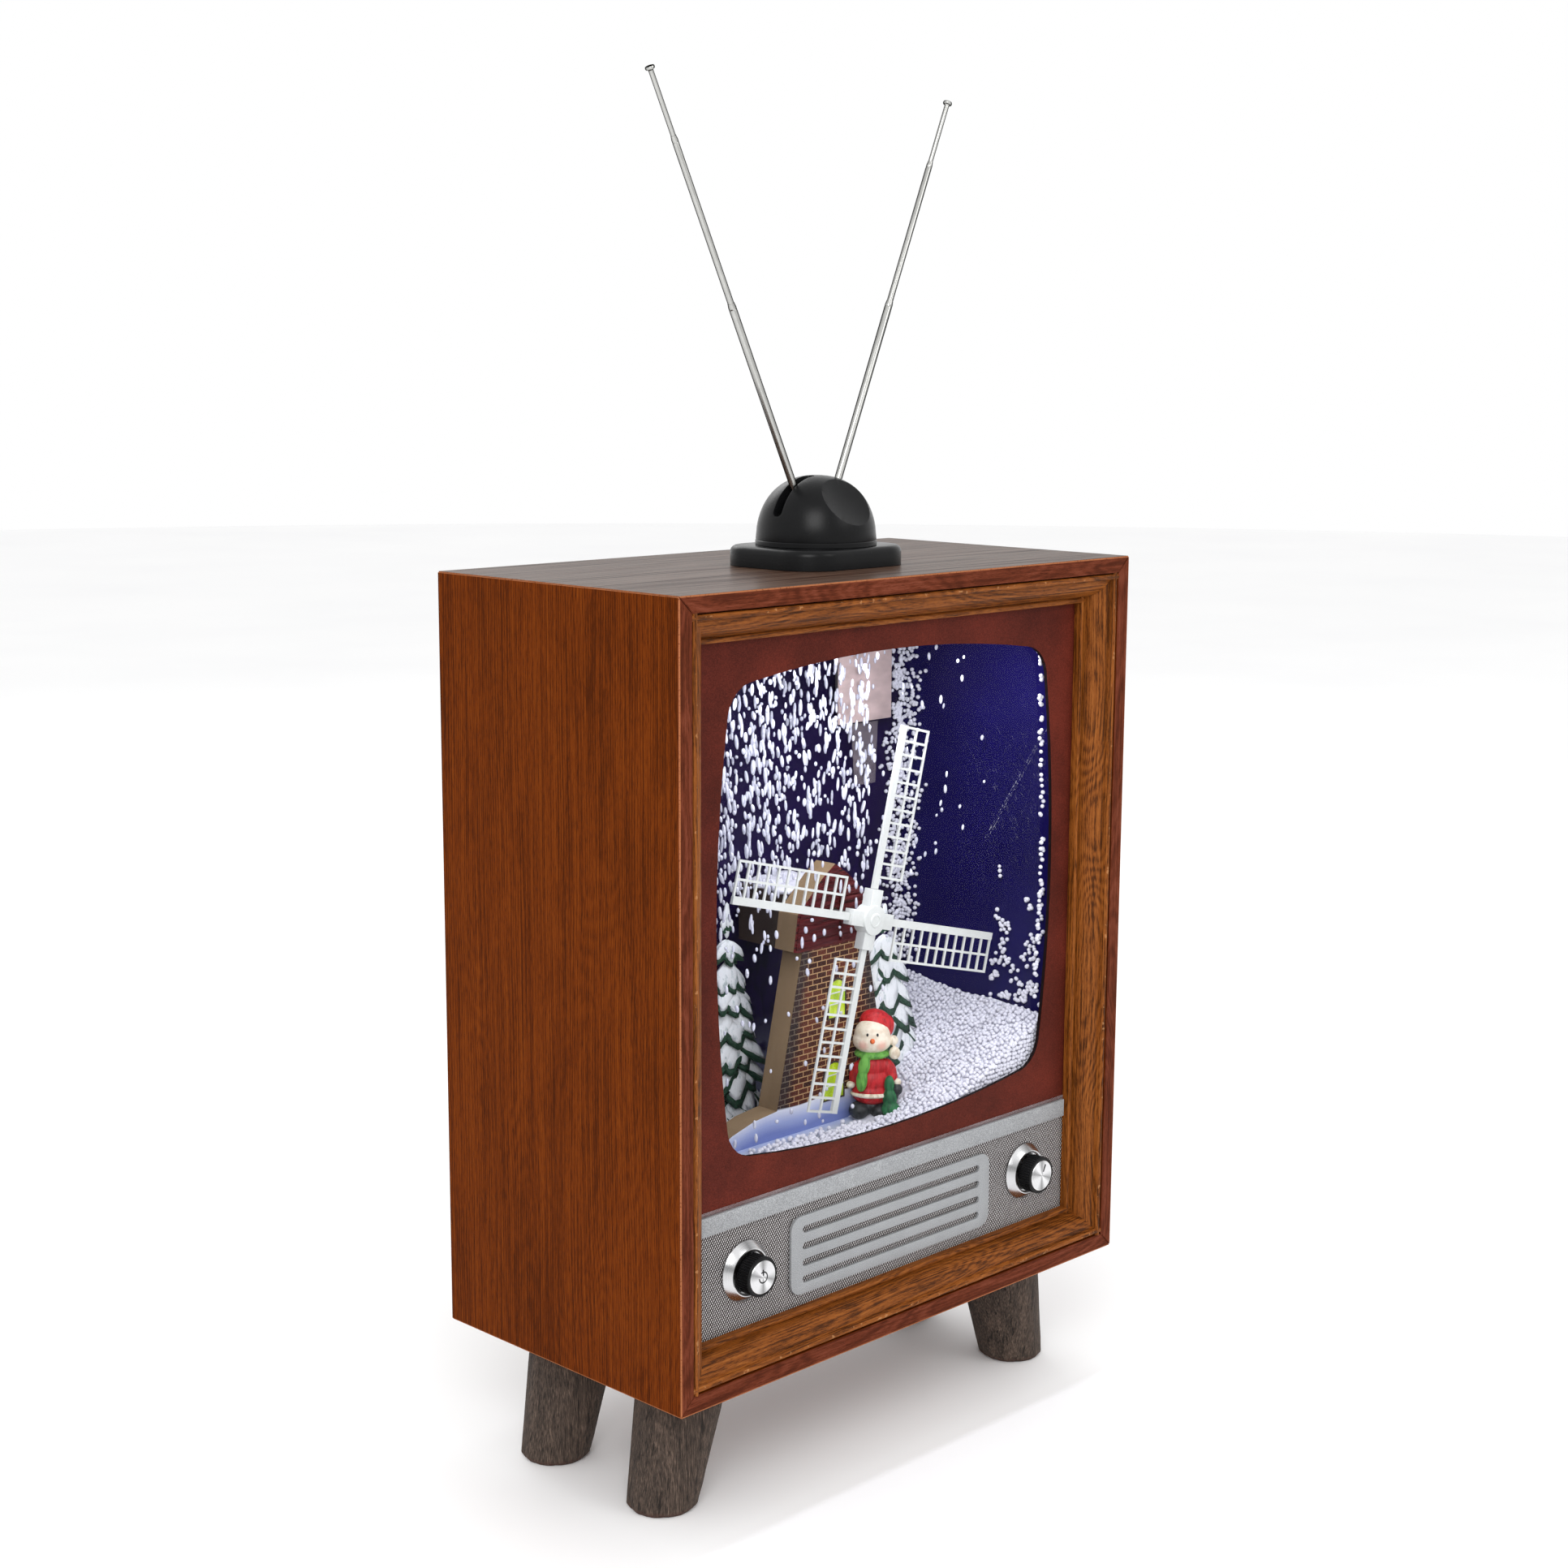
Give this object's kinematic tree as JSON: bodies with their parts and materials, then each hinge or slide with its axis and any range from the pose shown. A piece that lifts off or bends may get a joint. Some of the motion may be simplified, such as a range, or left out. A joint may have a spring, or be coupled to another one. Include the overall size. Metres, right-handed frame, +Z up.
{
  "type": "snowing television display",
  "caption": "Retro television cabinet on splayed legs, with a lit snow scene and windmill behind its screen, two knobs and a telescopic antenna.",
  "frame": {"origin": "centre of the bounding box at floor level, under the middle of the cabinet", "axes": "+Z up, -Y towards the viewer in front of the screen, +X to that viewer's right"},
  "size_m": [0.4256, 0.2246, 0.8948],
  "materials": {
    "veneer": "satin reddish walnut veneer",
    "leg_wood": "dark weathered wood, open grain",
    "oak": "golden oak moulding, glossy lacquer",
    "maroon": "oxblood paint on a thin board",
    "clear": "clear acrylic sheet",
    "silver": "silver paint with a fine speckle",
    "mesh": "silver and black twill speaker cloth",
    "chrome": "bright chrome",
    "aluminium": "spun aluminium",
    "steel": "plain steel",
    "brass": "turned brass",
    "black": "satin black moulding",
    "grey": "grey moulding",
    "white": "white moulding",
    "night": "deep blue printed liner",
    "lamp": "white diffuser, lit",
    "snow": "white foam beads",
    "brick": "fibreboard cut-out with a brick print",
    "brown": "brown card",
    "green": "painted cut-out",
    "red": "painted resin",
    "duct": "milky moulding",
    "paper": "pressed paper cone",
    "hardboard": "brown hardboard"
  },
  "bodies": {
    "cabinet": {"cabinet_top": "veneer", "cabinet_bottom": "veneer", "cabinet_side_left": "veneer", "cabinet_side_right": "veneer", "leg_front_left": "leg_wood", "leg_front_right": "leg_wood", "leg_back_left": "leg_wood", "leg_back_right": "leg_wood", "moulding_top": "oak", "moulding_bottom": "oak", "moulding_left": "oak", "moulding_right": "oak", "fascia_panel": "maroon", "screen_window": "clear", "divider_strip": "silver", "grille_plate": "silver", "speaker_mesh": "mesh", "bezel_left": "chrome", "bezel_right": "chrome", "antenna_plinth": "black", "antenna_dome": "black", "fan_housing": "black", "dc_inlet": "black", "power_switch": "steel", "volume_control": "steel", "fan_motor": "steel", "speaker_frame": "steel", "snow_chamber": "night", "light_bar": "lamp", "scenic_base": "snow", "snow_heap": "snow", "windmill_tower": "brick", "windmill_motor": "brown", "fir_right": "green", "control_board": "green", "snowman": "red", "snow_duct": "duct", "speaker_cone": "paper", "back_panel": "hardboard"},
    "power_dial": {"power_shaft": "steel", "power_knob": "black", "power_knob_cap": "aluminium"},
    "volume_dial": {"volume_shaft": "steel", "volume_knob": "black", "volume_knob_cap": "aluminium"},
    "left_rod_lower": {"antenna_pivot_left": "brass", "rod_left_lower": "chrome"},
    "left_rod_middle": {"rod_left_middle": "chrome"},
    "left_rod_tip": {"rod_left_tip": "chrome"},
    "right_rod_lower": {"antenna_pivot_right": "brass", "rod_right_lower": "chrome"},
    "right_rod_middle": {"rod_right_middle": "chrome"},
    "right_rod_tip": {"rod_right_tip": "chrome"},
    "windmill_rotor": {"rotor_hub": "white", "rotor_shaft": "steel", "sail_1": "white", "sail_2": "white", "sail_3": "white", "sail_4": "white"},
    "blower_rotor": {"fan_impeller": "grey"}
  },
  "joints": [
    {"name": "power_turn", "type": "hinge", "parent": "cabinet", "child": "power_dial", "pos_m": [-0.138, -0.0903, 0.157], "axis": [0, 1, 0], "range_deg": [0, 60]},
    {"name": "volume_turn", "type": "hinge", "parent": "cabinet", "child": "volume_dial", "pos_m": [0.138, -0.0903, 0.157], "axis": [0, 1, 0], "range_deg": [-140, 140]},
    {"name": "left_rod_swing", "type": "hinge", "parent": "cabinet", "child": "left_rod_lower", "pos_m": [-0.0075, -0.016, 0.612], "axis": [0, -1, 0], "range_deg": [-24, 35]},
    {"name": "left_middle_slide", "type": "slide", "parent": "left_rod_lower", "child": "left_rod_middle", "axis": [-0.4415, 0, 0.8973], "range_m": [-0.108, 0.025]},
    {"name": "left_tip_slide", "type": "slide", "parent": "left_rod_middle", "child": "left_rod_tip", "axis": [-0.4415, 0, 0.8973], "range_m": [-0.041, 0.088]},
    {"name": "right_rod_swing", "type": "hinge", "parent": "cabinet", "child": "right_rod_lower", "pos_m": [0.0075, -0.016, 0.612], "axis": [0, 1, 0], "range_deg": [-20, 39]},
    {"name": "right_middle_slide", "type": "slide", "parent": "right_rod_lower", "child": "right_rod_middle", "axis": [0.3875, 0, 0.9219], "range_m": [-0.098, 0.035]},
    {"name": "right_tip_slide", "type": "slide", "parent": "right_rod_middle", "child": "right_rod_tip", "axis": [0.3875, 0, 0.9219], "range_m": [-0.041, 0.088]},
    {"name": "windmill_spin", "type": "hinge", "parent": "cabinet", "child": "windmill_rotor", "pos_m": [0.016, -0.052, 0.352], "axis": [0, 1, 0], "continuous": true},
    {"name": "blower_spin", "type": "hinge", "parent": "cabinet", "child": "blower_rotor", "pos_m": [0.122, 0.08, 0.253], "axis": [0, 1, 0], "continuous": true}
  ]
}
